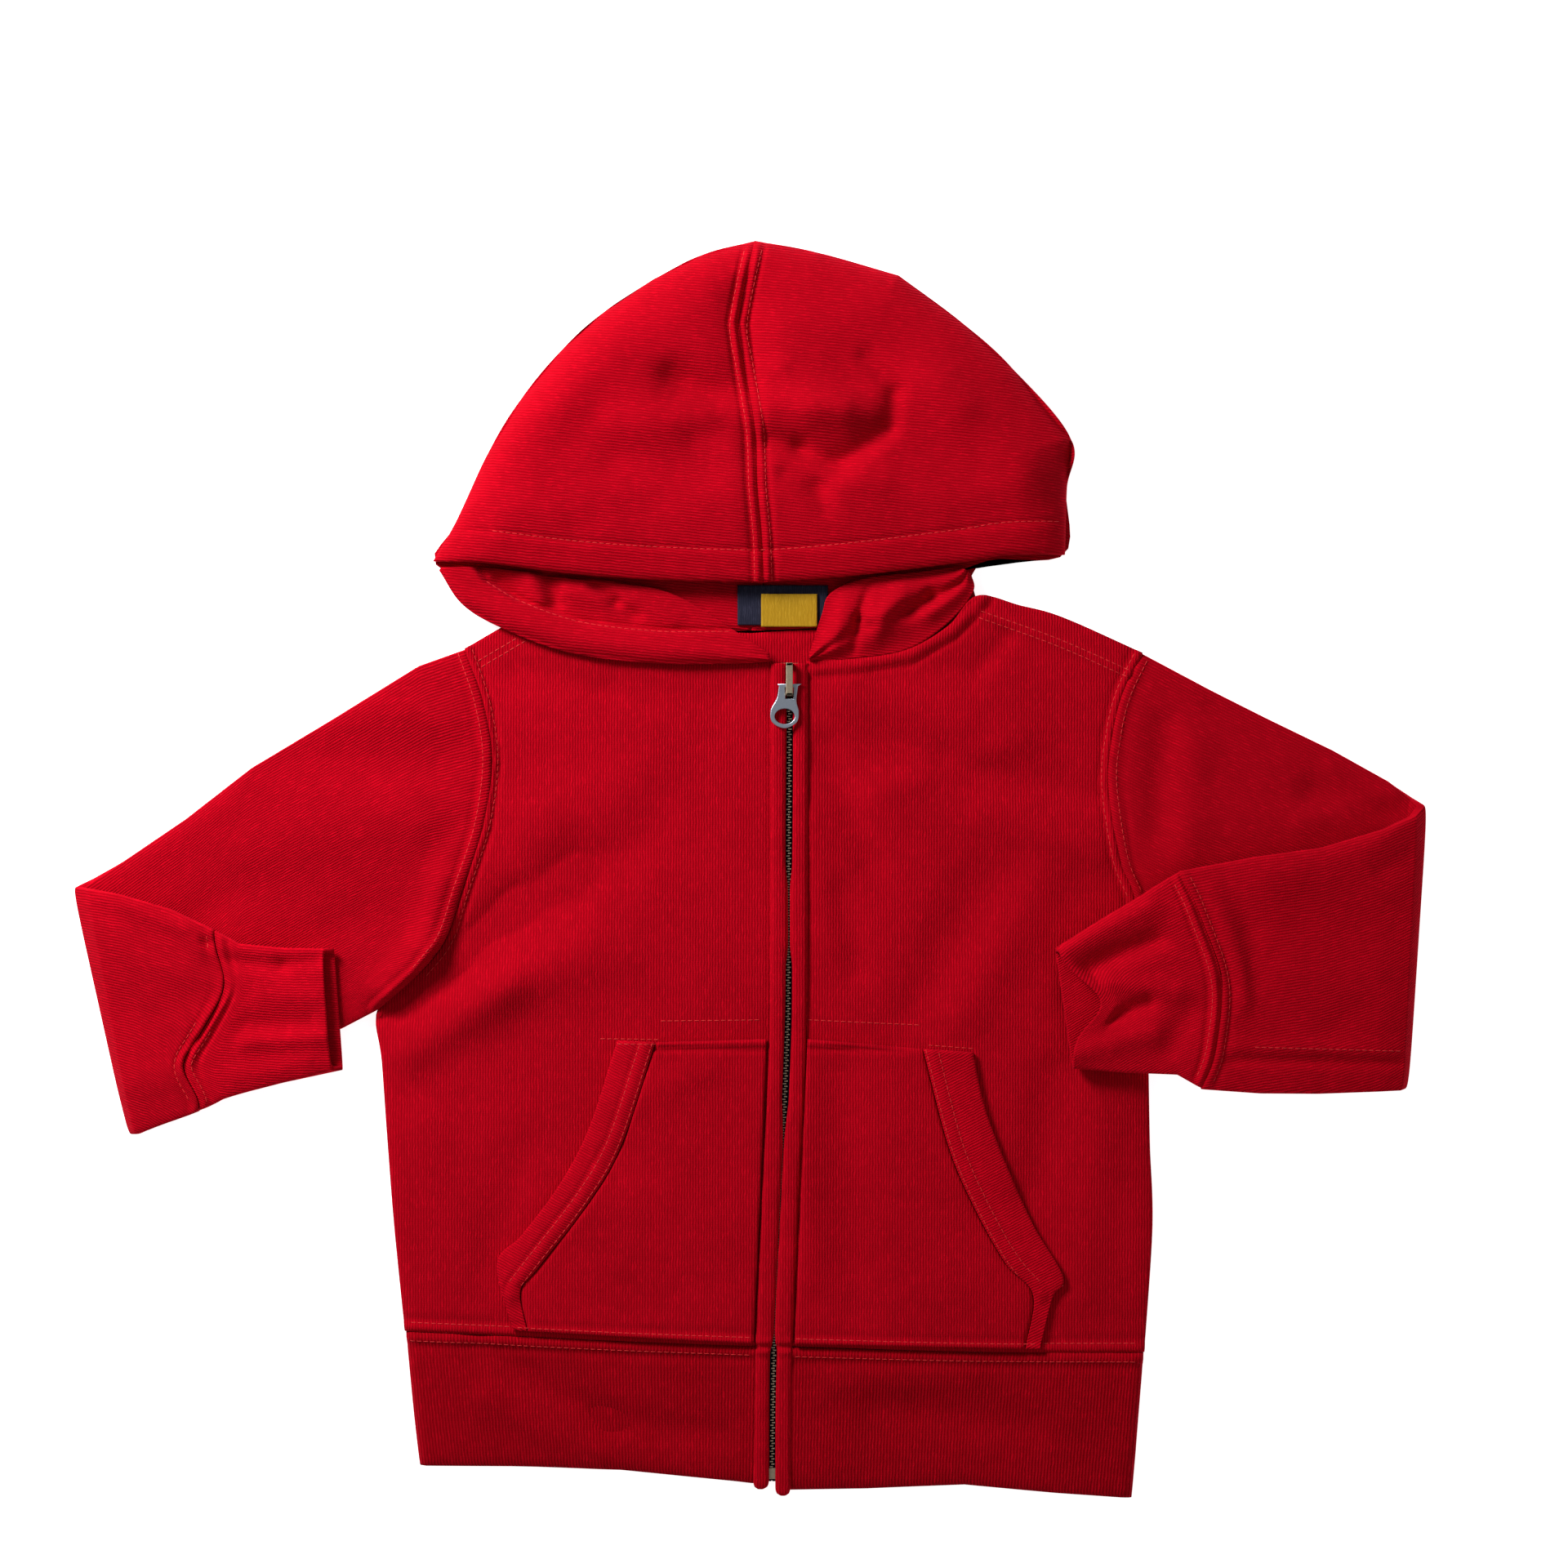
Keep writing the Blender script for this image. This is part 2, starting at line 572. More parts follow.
# Zip tapes
# Two navy tapes of woven polyester, one sewn under each placket.
# They show only as the dark slit between the plackets.
TAPE_BASE = 2.8
TAPE_TOP = 3.9
TAPE_INNER = 0.2
TAPE_OUTER = 9
TAPE_ENDS = (-284, 95)
TAPE_GRID = (4, 120)
NAVY = (0.012, 0.012, 0.024, 1)
NAVY_LIGHT = (0.045, 0.045, 0.075, 1)
navy_cloth = knit_material("navy_twill", NAVY, NAVY_LIGHT, wale=0.6, bump=0.4, fuzz=0.2, sheen=0)
for side, near, far in (("left", -TAPE_OUTER, -TAPE_INNER), ("right", TAPE_INNER, TAPE_OUTER)):
    plan = strip_plan(near, far, *TAPE_ENDS, *TAPE_GRID)
    tape = panel(f"tape_{side}_strip", plan, TAPE_TOP, TAPE_BASE)
    finish_cloth(tape, navy_cloth, f"zip_tape_{side}")

# Zip chain
# Two rows of small brass-coloured teeth clamped on the tapes' edges and closed into one another.
# A square metal box holds them together at the bottom.
TOOTH_PITCH = 2.4
TOOTH_HALF_LENGTH = 0.29
TOOTH_REACH = 1.2
TOOTH_HEEL = 0.5
BOTTOM_BOX_Y = (-282.5, -277.5)
BOTTOM_BOX_HALF = 3.2
BOTTOM_BOX_MIDDLE = -281
CHAIN_BASE = 4.1
CHAIN_TOP = 6.0
CHAIN_LOW = -280.5
CHAIN_HIGH = 79.0
TOOTH_BEVEL = 0.16
BRASS = (0.52, 0.42, 0.29, 1)
SCUFF_NOISE = (900, 4)
SCUFF_RELIEF = (0.15, 0.0001)


def metal_material(name, colour, roughness, wear=0.25):
    """Metal with fine scuffs, a share darker and lighter than its colour."""
    material = plain_material(name, {"Metallic": 0.9, "Roughness": roughness})
    tree = material.node_tree
    place = tree.nodes.new("ShaderNodeNewGeometry")
    scuffs = noise_node(tree, place.outputs["Position"], *SCUFF_NOISE)
    dark = (*(channel * (1 - wear) for channel in colour[:3]), 1)
    light = (*(channel * (1 + wear) for channel in colour[:3]), 1)
    colour_and_relief(tree, scuffs, dark, light, scuffs, *SCUFF_RELIEF)
    return material


def boxes_mesh(name, boxes, bevel):
    """One mesh of small bevelled boxes, each given by its low and high corner in millimetres."""
    corners = [(i, j, k) for i in (0, 1) for j in (0, 1) for k in (0, 1)]
    sides = [(0, 1, 3, 2), (4, 6, 7, 5), (0, 4, 5, 1), (2, 3, 7, 6), (0, 2, 6, 4), (1, 5, 7, 3)]
    places, faces = [], []
    for low, high in boxes:
        first = len(places)
        for corner in corners:
            places.append(tuple((low, high)[c][axis] * MM for axis, c in enumerate(corner)))
        faces += [tuple(first + index for index in side) for side in sides]
    mesh = bpy.data.meshes.new(name)
    mesh.from_pydata(places, [], faces)
    piece = placed(name, mesh)
    rounding = piece.modifiers.new("rounding", "BEVEL")
    rounding.width = bevel * MM
    rounding.segments = 2
    return piece


def finish_metal(piece, material, node, body):
    """Gives a metal piece its material and says what it stands for and rides on."""
    piece.data.materials.append(material)
    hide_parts(node)
    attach(piece, body)


brass = metal_material("antique_brass", BRASS, roughness=0.42)
teeth = []
for index in range(int((CHAIN_HIGH - CHAIN_LOW) / TOOTH_PITCH * 2)):
    y = CHAIN_LOW + index * TOOTH_PITCH / 2
    middle = cross_at(ZIP_LINE, y)
    left, right = (TOOTH_REACH, TOOTH_HEEL) if index % 2 else (TOOTH_HEEL, TOOTH_REACH)
    teeth.append(((middle - left, y - TOOTH_HALF_LENGTH, CHAIN_BASE),
                  (middle + right, y + TOOTH_HALF_LENGTH, CHAIN_TOP)))
middle = cross_at(ZIP_LINE, BOTTOM_BOX_MIDDLE)
low, high = BOTTOM_BOX_Y
teeth.append(((middle - BOTTOM_BOX_HALF, low, CHAIN_BASE - 0.2),
              (middle + BOTTOM_BOX_HALF, high, CHAIN_TOP + 0.3)))
chain = boxes_mesh("zip_teeth", teeth, TOOTH_BEVEL)
finish_metal(chain, brass, "zip_chain", "garment")

# Zip slider
# A cast brass-coloured slider that runs on the teeth, with a bridge over its middle.
# The tab's slot is threaded on the bridge.
SLIDER_BEVEL = 0.35
SLIDER_BOXES = [
    ((13.7, 80.2, 4.1), (22.5, 95.8, 6.0)),
    ((16.5, 80.6, 5.8), (19.7, 82.0, 13.0)),
    ((16.5, 94.2, 5.8), (19.7, 95.8, 13.0)),
    ((16.5, 80.6, 11.6), (19.7, 95.8, 13.0)),
]
slider = boxes_mesh("slider_body", SLIDER_BOXES, SLIDER_BEVEL)
finish_metal(slider, brass, "zip_slider", "garment")

# Pull tab
# A flat die-cast steel tab with a slot at the top and an oval eye, brushed and slightly blue.
# It swings on the slider's bridge.
PULL_PIVOT = (18.1, 85.2)
PULL_BASE = 9.4
PULL_THICKNESS = 1.5
PULL_EDGE = 0.45
PULL_OUTLINE = [(-4.8, 0.8), (-5.8, -5.6), (-8.7, -11.4), (-8, -17), (-2.2, -19.8), (3.4, -17),
                (4.4, -12), (3.3, -7), (4.2, 0.8)]
PULL_SLOT = [(-1.95, -0.8), (-1.95, -6.2), (1.95, -6.2), (1.95, -0.8)]
PULL_EYE = (-2.2, -14.2)
PULL_EYE_RADII = (4.6, 3.5)
RIM_POINTS = 61
EYE_POINTS = 40
STEEL = (0.42, 0.46, 0.53, 1)


def inset_loop(points, amount):
    """A closed outline in plan moved in by an amount, or out when it is negative."""
    loop = np.array(points, float)
    ahead = np.roll(loop, -1, axis=0) - np.roll(loop, 1, axis=0)
    across = np.stack([-ahead[:, 1], ahead[:, 0]], axis=-1)
    across /= np.linalg.norm(across, axis=1, keepdims=True)
    area = np.sum(loop[:, 0] * np.roll(loop[:, 1], -1) - np.roll(loop[:, 0], -1) * loop[:, 1])
    return loop + across * amount * np.sign(area)


rim = curve_at(PULL_OUTLINE, np.linspace(0, 1, RIM_POINTS))
eye_angles = np.linspace(0, math.tau, EYE_POINTS, endpoint=False)
eye = np.stack([PULL_EYE[0] + PULL_EYE_RADII[0] * np.cos(eye_angles),
                PULL_EYE[1] + PULL_EYE_RADII[1] * np.sin(eye_angles)], axis=-1)
pull_curve = bpy.data.curves.new("pull_outline", "CURVE")
pull_curve.dimensions = "2D"
pull_curve.fill_mode = "BOTH"
pull_curve.extrude = (PULL_THICKNESS / 2 - PULL_EDGE) * MM
pull_curve.bevel_depth = PULL_EDGE * MM
pull_curve.bevel_resolution = 3
for loop, way in ((rim, 1), (np.array(PULL_SLOT), -1), (eye, -1)):
    shape = inset_loop(loop, PULL_EDGE * way)
    spline = pull_curve.splines.new("POLY")
    spline.points.add(len(shape) - 1)
    for point, (x, y) in zip(spline.points, shape):
        point.co = ((PULL_PIVOT[0] + x) * MM, (PULL_PIVOT[1] + y) * MM, 0, 1)
    spline.use_cyclic_u = True
pull_form = placed("pull_form", pull_curve)
pull_mesh = bpy.data.meshes.new_from_object(pull_form)
bpy.data.objects.remove(pull_form)
pull_mesh.materials.clear()
pull = placed("pull_tab", pull_mesh)
pull.location.z = (PULL_BASE + PULL_THICKNESS / 2) * MM
steel = metal_material("satin_steel", STEEL, roughness=0.38, wear=0.1)
finish_metal(pull, steel, "zip_pull", "pull")

# Pockets
# Two halves of a kangaroo pocket, each sewn on its front at the top, the zip and the hem.
# Their slanted mouths are bound with a folded strip of ribbing.
LAYER_GAP = 0.5
POCKET_TOP_WELTS = ((0.9, 2.0, 1.3), (-1.2, 4.4, 1.0))
MOUTH_GROOVE = ((-0.8, 0, 1.1),)
TRIM_WELTS = ((0.4, 3.8, 2), (-0.5, 7.2, 0.9))
TRIM_FADE_Y = (-203, -196)
POCKET_GRID = (60, 90)
TRIM_GRID = (16, 100)
RIB_RED = (0.52, 0.0009, 0.010, 1)
DEEP_RIB_RED = (0.26, 0.0003, 0.004, 1)
BINDING_RED = (0.69, 0.0014, 0.0140, 1)
DEEP_BINDING_RED = (0.39, 0.0004, 0.007, 1)
POCKET_ZIP_GAP = 0.9
MOUTH_GAP = 0.4
POCKET_TOP_Y = -78.5
POCKET_LOW_Y = -219.5
POCKET_LEFT_EDGE = [(-44, -80), (-59.7, -127.5), (-74.9, -154.1), (-98.4, -184.5), (-106.5, -195),
                    (-103.5, -213.5)]
POCKET_LEFT_TRIM = [(-61.6, -79), (-74.9, -119.9), (-88.9, -146.5), (-106, -169.3), (-117.4, -182.6),
                    (-110, -213)]
POCKET_RIGHT_EDGE = [(80, -83), (91.6, -127.5), (103, -155), (118, -182), (131, -197),
                     (127.5, -221.8)]
POCKET_RIGHT_TRIM = [(103, -84.5), (110.6, -116.1), (129.6, -161.7), (144.8, -188.3), (140, -198),
                     (134, -221.9)]
# Columns: start x, start y, end x, end y, width, height of the crease
POCKET_CREASES = [
    (-60, -110, -20, -92, 8, 0.8), (-85, -160, -40, -150, 10, 0.4), (-70, -200, -10, -190, 11, -0.4),
    (-30, -130, -8, -200, 9, 0.4), (40, -100, 70, -120, 9, 0.4), (60, -150, 100, -165, 10, -0.4),
    (36, -200, 90, -196, 10, 0.4), (90, -185, 118, -205, 7, 0.5), (30, -130, 44, -180, 8, -0.3),
]


def pocket_base(x, y):
    return front_top(x, y) + LAYER_GAP


def pocket_top(x, y):
    seam = welts(POCKET_TOP_Y - y, POCKET_TOP_WELTS)
    mouth = np.minimum(gap_to(POCKET_LEFT_EDGE, x, y), gap_to(POCKET_RIGHT_EDGE, x, y))
    relief = folds_at(POCKET_CREASES, x, y) + seam + welts(mouth, MOUTH_GROOVE)
    return pocket_base(x, y) + CLOTH + relief


rib = knit_material("red_ribbing", DEEP_RIB_RED, RIB_RED, wale=1.5, bump=0.6)
binding_rib = knit_material("red_binding", DEEP_BINDING_RED, BINDING_RED, wale=1.2)
pocket_zip = [(11, POCKET_LOW_Y), (13.7, -157.9), (17, POCKET_TOP_Y)]
left_zip = shifted(pocket_zip, -PLACKET_OUTER - POCKET_ZIP_GAP)
right_zip = shifted(pocket_zip, PLACKET_OUTER + POCKET_ZIP_GAP)
left_mouth = shifted(POCKET_LEFT_EDGE, MOUTH_GAP)[::-1]
right_mouth = shifted(POCKET_RIGHT_EDGE, -MOUTH_GAP)[::-1]
for side, left, right in (("left", left_mouth, left_zip), ("right", right_zip, right_mouth)):
    plan = between(left, right, *POCKET_GRID)
    pocket = panel(f"pocket_{side}_half", plan, pocket_top(*plan[:2]), pocket_base(*plan[:2]))
    finish_cloth(pocket, fleece, f"pocket_{side}")


def trim_top(x, y, s):
    inner = np.minimum(gap_to(POCKET_LEFT_EDGE, x, y), gap_to(POCKET_RIGHT_EDGE, x, y))
    roll = 0.9 * (1 - np.abs(2 * s - 1) ** 3) + welts(inner, TRIM_WELTS)
    roll += 0.12 * np.sin(y / 4) * np.sin(y / 13)
    return pocket_base(x, y) + CLOTH - 0.2 + (0.4 + roll) * smooth_step(*TRIM_FADE_Y, y)


for side, left, right, grain in (
    ("left", POCKET_LEFT_TRIM[::-1], POCKET_LEFT_EDGE[::-1], 63),
    ("right", POCKET_RIGHT_EDGE[::-1], POCKET_RIGHT_TRIM[::-1], 117),
):
    plan = between(left, right, *TRIM_GRID)
    trim = panel(f"pocket_{side}_binding", plan, trim_top(*plan[:3]), pocket_base(*plan[:2]), grain)
    finish_cloth(trim, binding_rib, f"pocket_trim_{side}")

# Hem band
# One strip of ribbing folded double, from the left placket round the back to the right one.
# It draws the body in a little, and lies flat with a soft fold at each side.
BAND_THICKNESS = 2.4
BAND_HEIGHT = 7.0
BAND_FOLD = 5.0
HEM_END_LEFT = [(-160, HEM_SEAM[0][1]), (-156.5, -250), (-153.5, -276.4)]
HEM_END_RIGHT = [(182.6, HEM_SEAM[-1][1]), (180, -256), (177.1, -291.6)]
HEM_LOWER_LEFT = [(-153.5, -276.4), (-106, -276.8), (-60.4, -278.4), (-7, -283.6), (1.3, -284.6)]
HEM_LOWER_RIGHT = [(18.6, -287.6), (53.6, -287.1), (99.2, -285.2), (141, -289), (177.1, -291.6)]
HEM_LOWER_BACK = [(-153.5, -276.4), (-60.4, -278.4), (10, -284), (99.2, -285.2), (177.1, -291.6)]
# Ridges and grooves: height, then place and width as shares of the band's height
BAND_WELTS = ((1.0, 0.045, 0.025), (-0.5, 0.1, 0.03))
BAND_ROWS = 44
BAND_TOP_COLUMNS = 90
BAND_UNDER_COLUMNS = 60
# Columns: start x, start y, end x, end y, width, height of the crease
BAND_CREASES = [
    (-126, -222, -66, -256, 9, -1.8), (-66, -256, -14, -262, 8, -1.6), (-120, -246, -70, -270, 9, 1.4),
    (60, -250, 130, -258, 9, -1.5), (40, -238, 100, -234, 8, 1.2), (140, -240, 172, -270, 9, 1.2),
]


def band_section(v, inset):
    """One ring of the band's wall, from placket to placket, at a share of its height."""
    left = curve_at(HEM_END_LEFT, [v])[0, 0]
    right = curve_at(HEM_END_RIGHT, [v])[0, 0]
    middle = cross_at(ZIP_LINE, HEM_AT_ZIP + v * (HEM_LOWER_LEFT[-1][1] - HEM_AT_ZIP))
    angles = np.linspace(0, np.pi, 10)[1:-1]
    beside_zip = PLACKET_OUTER - TUCKED_UNDER
    top_left = np.linspace(middle - beside_zip, left + BAND_FOLD, BAND_TOP_COLUMNS)
    under = np.linspace(left + BAND_FOLD, right - BAND_FOLD, BAND_UNDER_COLUMNS)
    top_right = np.linspace(right - BAND_FOLD, middle + beside_zip, BAND_TOP_COLUMNS)
    half = BAND_HEIGHT / 2
    swing, climb = (BAND_FOLD - inset) * np.sin(angles), (half - inset) * np.cos(angles)
    x = np.concatenate([top_left, left + BAND_FOLD - swing, under, right - BAND_FOLD + swing, top_right])
    top = np.full(BAND_TOP_COLUMNS, BAND_HEIGHT - inset)
    z = np.concatenate([top, half + climb, np.full(BAND_UNDER_COLUMNS, inset), half - climb, top])
    lower = np.interp(x, *np.transpose(HEM_LOWER_BACK))
    lower[:BAND_TOP_COLUMNS] = np.interp(top_left, *np.transpose(HEM_LOWER_LEFT))
    lower[-BAND_TOP_COLUMNS:] = np.interp(top_right, *np.transpose(HEM_LOWER_RIGHT))
    seam = np.interp(x, *np.transpose(HEM_SEAM)) - SEAM_GAP
    y = seam + v * (lower - seam)
    if inset == 0:
        edge = 0.5 * np.exp(-v / 0.02) + 1.4 * np.exp(-(1 - v) / 0.04)
        ripple = 0.4 * np.sin(x / 23 + 2.1 * v) + folds_at(BAND_CREASES, x, y)
        z += np.where(z > half, ripple + welts(v, BAND_WELTS) - edge, 0)
    return np.stack([x, y, z], axis=-1)


band_shares = np.linspace(0, 1, BAND_ROWS)
band_outer = np.stack([band_section(v, 0) for v in band_shares])
band_inner = np.stack([band_section(v, BAND_THICKNESS) for v in band_shares])
band_steps = np.linalg.norm(np.diff(band_outer[:1], axis=1), axis=-1)
band_run = np.concatenate([[0], np.cumsum(band_steps)])
band_texture = np.stack([np.broadcast_to(band_run, band_outer.shape[:2]), band_outer[..., 1]], axis=-1)
band = cloth_mesh("hem_band_rib", band_outer, band_inner, band_texture)
finish_cloth(band, rib, "hem_band")

# Sleeves
# Two tubes of fleece set into the armholes, each folded at the elbow so the forearm lies on top.
# The underarm seam of the right forearm shows as a low ridge along its lower side.
# Columns: upper edge x, y, lower edge x, y, height, half thickness, turn over, armhole's curve
SLEEVE_LEFT = [
    (-132.1, 102.3, -172.5, -64.9, 3.4, 3.4, 0, 1), (-154, 94.5, -188, -73, 3.5, 3.5, 0, 0.7),
    (-193.4, 70.1, -212, -85, 3.6, 3.6, 0, 0.25), (-231.4, 47.3, -238, -98, 3.5, 3.5, 0, 0),
    (-262, 23.5, -262, -110, 3.3, 3.3, 0, 0), (-290, 4.5, -277, -118, 3.2, 3.2, 0, 0),
    (-304, -4, -283, -121, 4.4, 3.1, 40, 0), (-311.1, -8, -285.5, -122.6, 7.6, 3.1, 90, 0),
    (-304, -9, -283, -122, 11, 3.1, 140, 0), (-292, -11, -278, -120, 12, 3.2, 180, 0),
    (-268, -18, -268, -115.5, 12.2, 3.6, 180, 0), (-248.5, -27.5, -259.5, -111.5, 12.2, 4, 180, 0),
]
SLEEVE_RIGHT = [
    (181.5, 100.4, 183.4, -64.7, 3.4, 3.4, 0, 1), (213.2, 83.5, 206, -74, 3.5, 3.5, 0, 0.5),
    (239.8, 70.1, 236, -83, 3.5, 3.5, 0, 0.15), (270, 55.5, 266, -92, 3.4, 3.4, 0, 0),
    (296, 41, 290, -98, 3.3, 3.3, 0, 0), (307, 33, 299.5, -100, 4.6, 3.1, 40, 0),
    (310.7, 30, 302, -101.5, 7.8, 3.1, 90, 0), (306, 25, 299.5, -102, 11.4, 3.1, 140, 0),
    (292, 18.8, 290, -102.4, 12.4, 3.2, 180, 0), (264, 10.4, 262, -103.4, 12.6, 3.5, 180, 0),
    (232, 5.9, 237, -103.2, 12.8, 3.8, 180, 0), (200.2, -0.6, 213, -101.2, 13, 4, 180, 0),
]
# Columns: start x, start y, end x, end y, width, height of the crease
UPPER_ARM_CREASES = [
    (-142, -6, -150, -34, 8, 3.2), (-150, -34, -170, -54, 8, 3.8),
    (-148, -39, -168, -59, 4.5, 2.6), (-216, 54, -146, 50, 13, -2.2),
    (-160, 24, -232, 10, 16, 1.6), (-176, -20, -226, -44, 10, -1.2), (-244, 30, -286, 2, 9, 1.0),
    (-140, 70, -176, 76, 8, 0.9), (-136, 20, -150, 8, 6, -0.8), (-232, -6, -262, -26, 9, -1.0),
    (192, 66, 188, 16, 7, -1.8), (206, 60, 202, 10, 9, 1.6), (216, 74, 262, 52, 8, -1.4),
    (214, 20, 296, 26, 12, 1.2), (262, 36, 298, 26, 8, -2.6), (206, 92, 246, 70, 6, 0.9),
    (226, -4, 250, -10, 8, -0.8), (256, 22, 304, 38, 6, 1.4),
]
FOREARM_CREASES = [
    (-241, -29, -252, -34, 3.4, -1.3), (-252, -34, -251, -46, 3.0, -1.8), (-246, -36, -226, -38, 4, 2.6),
    (-262, -22, -256, -36, 5, 1.6), (-241, -55, -245, -73, 1.8, -2.0), (-246, -56, -249, -72, 3, 1.6),
    (-245, -73, -256, -80, 1.8, -1.8), (-300, -30, -268, -48, 10, 1.2), (-296, -66, -266, -62, 9, -1.1),
    (-292, -98, -262, -94, 8, 1.1), (-300, -12, -262, -26, 4, 1.0), (-276, -60, -258, -70, 7, 1.0),
    (222, -81, 300, -83.6, 3.2, 1.2), (220, -87.5, 300, -89, 2.2, -1.7), (214, -10, 222, -60, 6, 1.5),
    (217, -8, 229, -28, 6, -0.8), (229, -28, 229, -52, 7, -0.9),
    (240, -2, 296, 14, 10, 1.4), (258, -20, 300, -26, 11, -1.2),
    (250, -48, 290, -60, 10, 1.0), (288, 16, 304, 26, 6, 2.0), (292, 0, 304, 6, 5, -1.2),
    (270, -72, 304, -50, 8, -0.9),
]
CUFF_SEAM_LEFT = [(-258.4, -111.1), (-247.4, -28.4)]
CUFF_SEAM_RIGHT = [(212.9, -101.2), (200.1, -0.6)]
SLEEVE_HEAD_WELTS = ((1.2, 2.2, 1.3), (-0.7, 5, 1.2))
CUFF_WELTS = ((1.3, 2.2, 1.3), (-0.6, 0, 0.8), (-0.7, 5.4, 1.2))
# How far the cloth is pushed in x, the y where it is pushed, the width in y
WRIST_SWAY_LEFT = ((9, -54, 17), (-5, -89, 10), (5, -110, 10))
WRIST_SWAY_RIGHT = ((10, -52, 32), (-6, -104, 12), (-3, 0, 10))
FLATNESS = 6
SLEEVE_GRID = (180, 124)


def armhole_seam(x, y):
    holes = np.minimum(gap_to(ARMHOLE_LEFT, x, y), gap_to(ARMHOLE_RIGHT, x, y))
    return welts(holes, SLEEVE_HEAD_WELTS)


def upper_arm_relief(x, y):
    return folds_at(UPPER_ARM_CREASES, x, y) + armhole_seam(x, y)


def cuff_seam(x, y):
    """The double welt over each cuff's seam."""
    seams = np.minimum(gap_to(CUFF_SEAM_LEFT, x, y), gap_to(CUFF_SEAM_RIGHT, x, y))
    shown = 1 - 0.85 * ridge(y, -50, 10) * (x < 0)
    return welts(seams, CUFF_WELTS) * shown


def forearm_relief(x, y):
    return folds_at(FOREARM_CREASES, x, y) + cuff_seam(x, y)


def wrist_sway(x, y, up):
    """How far the cloth near each wrist is pushed in x, so that the seams wander and the ends gape."""
    sway = welts(y, WRIST_SWAY_LEFT) * ridge(x, cross_at(CUFF_SEAM_LEFT, y), 17)
    sway += welts(y, WRIST_SWAY_RIGHT) * ridge(x, cross_at(CUFF_SEAM_RIGHT, y), 22)
    mouths = 17 * ridge(y, -61, 14) * ridge(x, 143, 24) - 5 * ridge(x, -190, 14)
    return sway + mouths * np.clip(up, 0, 1) ** 0.5


def tube(name, stations, outward, armhole, grid, relief, relief_over):
    """A flattened tube through its stations, with creases on whichever side faces up."""
    rows, ring = grid
    table = np.array(stations, float)
    where = np.linspace(0, len(table) - 1, rows)
    table = np.stack([np.interp(where, np.arange(len(table)), column) for column in table.T], axis=-1)
    angle = np.linspace(0, math.tau, ring, endpoint=False)
    raw = 0.5 - 0.5 * np.cos(angle)
    side = np.sign(np.sin(angle)) * (1 - np.abs(2 * raw - 1) ** FLATNESS) ** (1 / FLATNESS)
    bow = np.zeros((rows, ring, 2))
    if armhole:
        curve = curve_at(armhole[::-1], raw)
        chord = curve[0] + (np.array(armhole[0]) - np.array(armhole[-1])) * raw[:, None]
        bow = table[:, 7, None, None] * (curve - chord)[None]
    walls = []
    for inset in (0, CLOTH):
        a, b = table[:, None, 0:2], table[:, None, 2:4]
        length = np.linalg.norm(b - a, axis=-1)
        s = inset / length + raw[None] * (1 - 2 * inset / length)
        place = a + (b - a) * s[..., None] + bow
        turn = np.radians(table[:, 6, None])
        half = table[:, 5, None] - inset
        lift = side[None] * half
        up = lift * np.cos(turn) / half
        x = place[..., 0] - outward * lift * np.sin(turn)
        z = table[:, 4, None] + lift * np.cos(turn)
        over = table[:, 6, None] > 90
        height = np.where(over, relief_over(x, place[..., 1]), relief(x, place[..., 1]))
        z = z + height * np.clip(up, 0, 1) ** 2
        x = x + np.where(over, wrist_sway(x, place[..., 1], up), 0)
        walls.append(np.stack([x, place[..., 1], z], axis=-1))
        if inset == 0:
            around = raw[None] * length
    steps = np.linalg.norm(np.diff(table[:, 0:2] + table[:, 2:4], axis=0), axis=-1) / 2
    run = np.concatenate([[0], np.cumsum(steps)])
    texture = np.stack([around, np.broadcast_to(run[:, None], around.shape)], axis=-1)
    return cloth_mesh(name, walls[0], walls[1], texture, ringed=True)


for side, stations, outward, armhole, area in (
    ("left", SLEEVE_LEFT, -1, ARMHOLE_LEFT, 0.060),
    ("right", SLEEVE_RIGHT, 1, ARMHOLE_RIGHT, 0.062),
):
    sleeve = tube(f"sleeve_{side}_tube", stations, outward, armhole, SLEEVE_GRID, upper_arm_relief,
                  forearm_relief)
    finish_cloth(sleeve, fleece, f"sleeve_{side}")

# Cuffs
# A short tube of ribbing at each wrist, folded double and sewn on with a double row.
# The open ends face inward, and the right one rests on the front.
CUFF_LEFT = [
    (-248.0, -28.1, -259.0, -111.0, 12.2, 4, 180, 0), (-238, -34, -246, -106, 12, 4.2, 180, 0),
    (-215, -36, -216, -98.4, 11.9, 4, 180, 0), (-192.7, -36.3, -188.6, -92.5, 12, 4.2, 180, 0),
]
CUFF_RIGHT = [
    (200.8, -0.6, 213.5, -101, 13, 4, 180, 0), (186, -8, 198, -94.5, 13, 4.2, 180, 0),
    (163, -22, 172, -93.5, 13, 4, 180, 0), (141, -36, 149, -91.6, 13.1, 4.4, 180, 0),
]
CUFF_CREASES = [
    (-245, -42, -216, -44, 4, -1.9), (-216, -44, -196, -41, 4, -1.6), (-231, -79, -192, -77, 4, 1.7),
    (-234, -72, -200, -70, 5, -1.2), (-236, -96, -200, -88, 5, 0.8), (-226, -58, -196, -58, 5, 0.9),
    (143, -36, 182, -17, 6, 3.0), (152, -46, 184, -32, 4.5, -3.8), (158, -52, 190, -56, 5, 1.8),
    (160, -68, 180, -61, 4, -3.2), (148, -85, 184, -75, 5.5, 2.2), (196, -66, 190, -84, 6, -1.5),
    (196, -20, 204, -46, 7, 1.2),
]
CUFF_GRID = (80, 110)


def cuff_relief(x, y):
    return folds_at(CUFF_CREASES, x, y) + cuff_seam(x, y)


